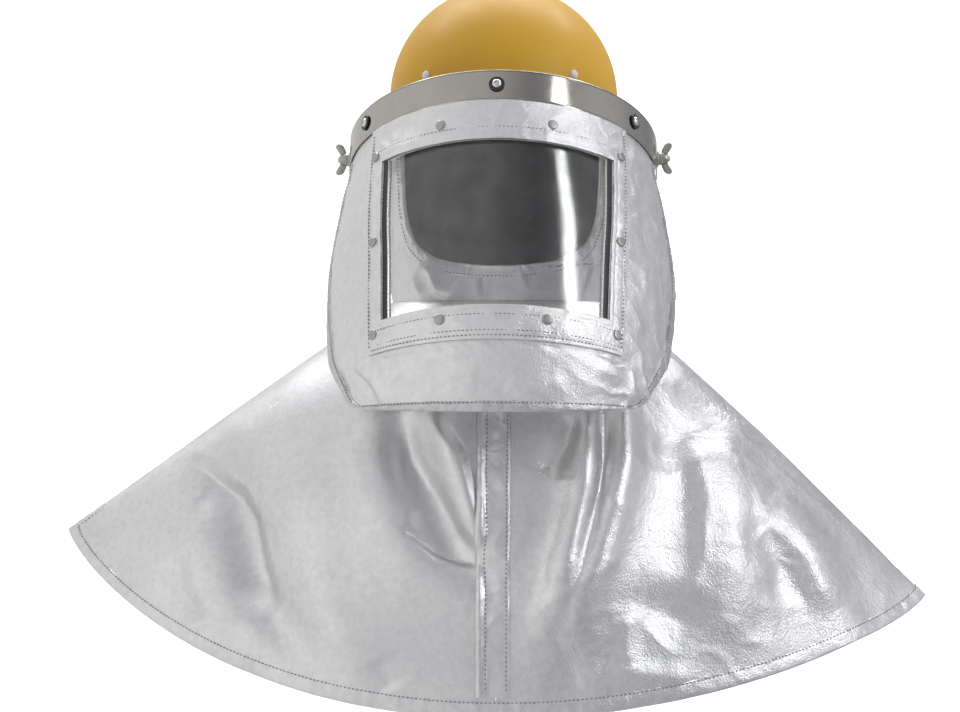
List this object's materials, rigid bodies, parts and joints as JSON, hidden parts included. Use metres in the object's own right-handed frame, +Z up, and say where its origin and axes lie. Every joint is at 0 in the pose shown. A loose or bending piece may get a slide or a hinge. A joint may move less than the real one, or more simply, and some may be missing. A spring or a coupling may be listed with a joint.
{
  "type": "aluminized hood with hard hat and flip-up face shield",
  "caption": "Aluminized cloth hood with shoulder cape under a yellow hard hat, with a clear window in a cloth face shield that flips up on a steel band.",
  "frame": {"origin": "midway between the two pivots of the face shield, at the level where the head carries the hat", "axes": "+Z up, the face shield and the front of the cape face -Y, +X is the side on the right in the picture"},
  "size_m": [0.8098, 0.4725, 0.6607],
  "materials": {
    "helmet_yellow": "satin",
    "pale_stud": "matt",
    "fasteners": "satin",
    "foil_cloth": "aluminized, fine weave, creased",
    "foil_tape": "aluminized, folded and stitched",
    "band_steel": "polished",
    "dark_rubber": "matt",
    "clear_lens": "clear"
  },
  "bodies": {
    "hood": {"helmet_shell": "helmet_yellow", "helmet_stud_left": "pale_stud", "helmet_stud_right": "pale_stud", "pivot_bracket_left": "fasteners", "pivot_bracket_right": "fasteners", "pivot_bolt_left": "fasteners", "pivot_bolt_right": "fasteners", "pivot_washer_left": "fasteners", "pivot_washer_right": "fasteners", "wing_nut_left": "fasteners", "wing_nut_right": "fasteners", "cowl": "foil_cloth", "cape_front_left": "foil_cloth", "cape_front_right": "foil_cloth", "cape_back": "foil_cloth", "front_placket": "foil_cloth", "face_opening_binding": "foil_tape", "cape_hem": "foil_tape"},
    "visor": {"visor_band": "band_steel", "band_washer_centre": "dark_rubber", "band_washer_left": "dark_rubber", "band_washer_right": "dark_rubber", "band_bolt_centre": "fasteners", "band_bolt_left": "fasteners", "band_bolt_right": "fasteners", "visor_surround": "foil_cloth", "window_frame": "foil_cloth", "surround_binding": "foil_tape", "visor_lens": "clear_lens", "lens_channel_left": "dark_rubber", "lens_channel_right": "dark_rubber", "frame_rivet_01": "fasteners", "frame_rivet_02": "fasteners", "frame_rivet_03": "fasteners", "frame_rivet_04": "fasteners", "frame_rivet_05": "fasteners", "frame_rivet_06": "fasteners", "frame_rivet_07": "fasteners", "frame_rivet_08": "fasteners", "frame_rivet_09": "fasteners", "frame_rivet_10": "fasteners"}
  },
  "joints": [
    {"name": "visor_flip", "type": "hinge", "parent": "hood", "child": "visor", "pos_m": [0, 0, 0], "axis": [-1, 0, 0], "range_deg": [0, 90]}
  ]
}
